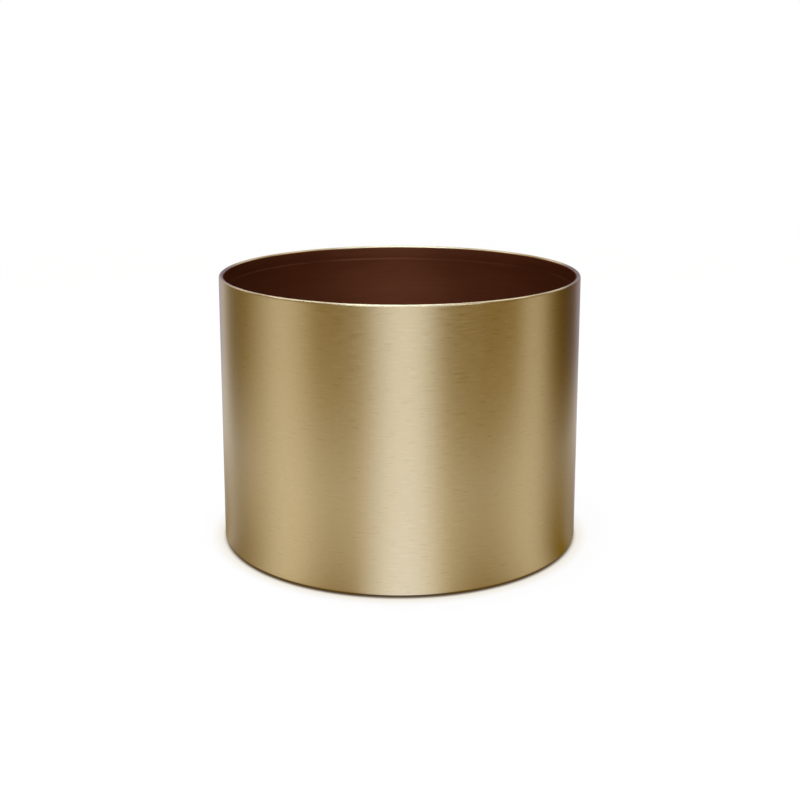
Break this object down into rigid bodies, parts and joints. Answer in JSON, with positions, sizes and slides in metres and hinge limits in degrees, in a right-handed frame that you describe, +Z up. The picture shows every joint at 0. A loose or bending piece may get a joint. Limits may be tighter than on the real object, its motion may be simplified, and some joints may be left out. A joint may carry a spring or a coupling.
{
  "type": "cachepot",
  "caption": "Straight-sided round cachepot in brushed brass sheet with a hemmed rim and a brown waterproof coat inside, which hides a plant's nursery pot.",
  "frame": {"origin": "on the table under the middle of the pot, in the plane of the pads' undersides", "axes": "+Z up along the pot's axis, +Y towards the back, where the wall's seam is"},
  "size_m": [0.16, 0.16, 0.12],
  "materials": {
    "brushed_brass": "brushed round the pot, clear lacquered",
    "brazed_seam": "ground flush and brushed",
    "plain_brass": "plain rolled sheet",
    "solder": "dull tin solder",
    "brown_coat": "satin brown lacquer",
    "pad_rubber": "matte moulded rubber"
  },
  "bodies": {
    "root": {"wall": "brushed_brass", "wall_seam": "brazed_seam", "base_disc": "plain_brass", "base_solder": "solder", "inner_coat": "brown_coat", "foot_pad_1": "pad_rubber", "foot_pad_2": "pad_rubber", "foot_pad_3": "pad_rubber", "foot_pad_4": "pad_rubber"}
  },
  "joints": []
}
